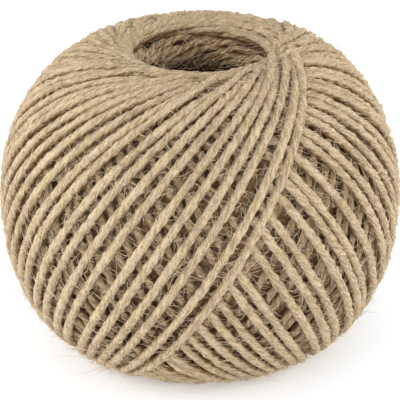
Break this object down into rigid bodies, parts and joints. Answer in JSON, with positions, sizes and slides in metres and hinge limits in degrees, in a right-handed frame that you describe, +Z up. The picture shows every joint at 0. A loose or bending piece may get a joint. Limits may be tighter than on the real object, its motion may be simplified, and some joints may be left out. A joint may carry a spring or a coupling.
{
  "type": "ball of twine",
  "caption": "Machine-wound ball of jute twine, its crossing turns ridged on the outside, with a round centre hole, standing on one end.",
  "frame": {"origin": "on the floor, under the middle of the ball's bounding box", "axes": "+Z up along the axis of the centre hole; the front, with the last turn crossing it, faces -Y"},
  "size_m": [0.0998, 0.1004, 0.0807],
  "materials": {
    "jute_twine": "natural three-ply jute, coarse and hairy, undyed, matt"
  },
  "bodies": {
    "root": {"twine_ball": "jute_twine"}
  },
  "joints": []
}
